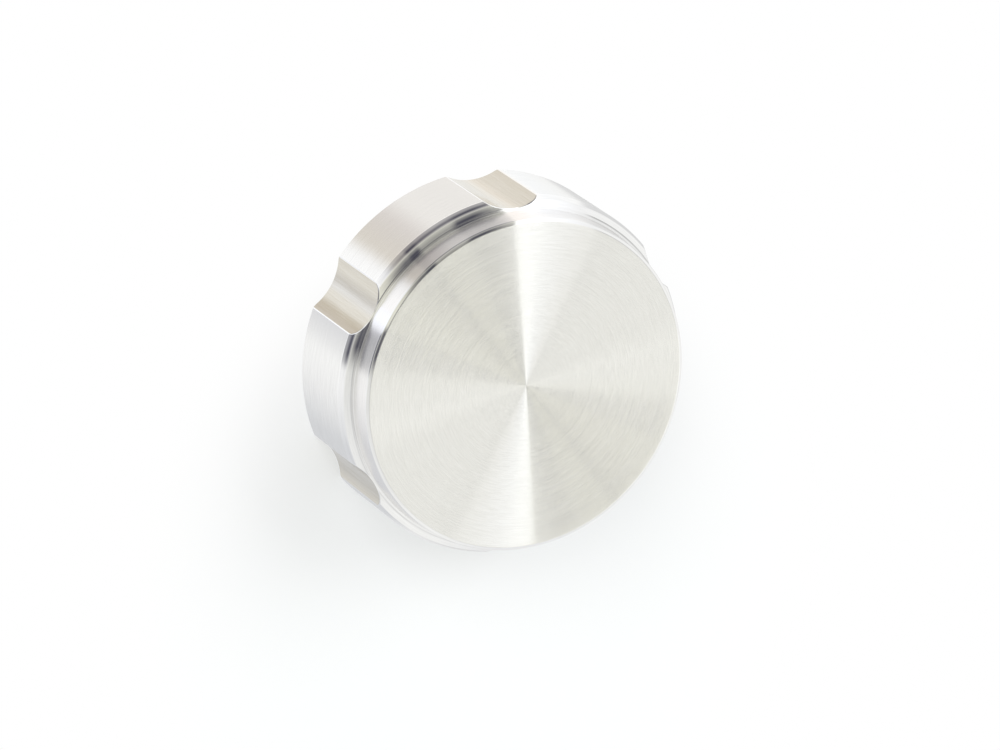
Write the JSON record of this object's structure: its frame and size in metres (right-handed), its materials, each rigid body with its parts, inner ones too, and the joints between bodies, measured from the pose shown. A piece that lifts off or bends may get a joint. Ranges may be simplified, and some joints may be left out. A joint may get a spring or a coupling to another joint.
{
  "type": "expansion tank cap",
  "caption": "Round bare aluminium screw cap for a coolant expansion tank: flat raised face, rounded shoulder, finger scallops round the grip, threaded bore and a rubber O-ring in the roof.",
  "frame": {"origin": "centre of the open rim, in the plane of the rim that the cap stands on", "axes": "+Z along the thread axis from the open rim to the flat face, +Y through the middle of one finger scallop"},
  "size_m": [0.07, 0.0692, 0.0243],
  "materials": {
    "turned_aluminium": "lathe turned and milled, bare",
    "seal_rubber": "moulded, satin black"
  },
  "bodies": {
    "root": {"cap_body": "turned_aluminium", "seal_ring": "seal_rubber"}
  },
  "joints": []
}
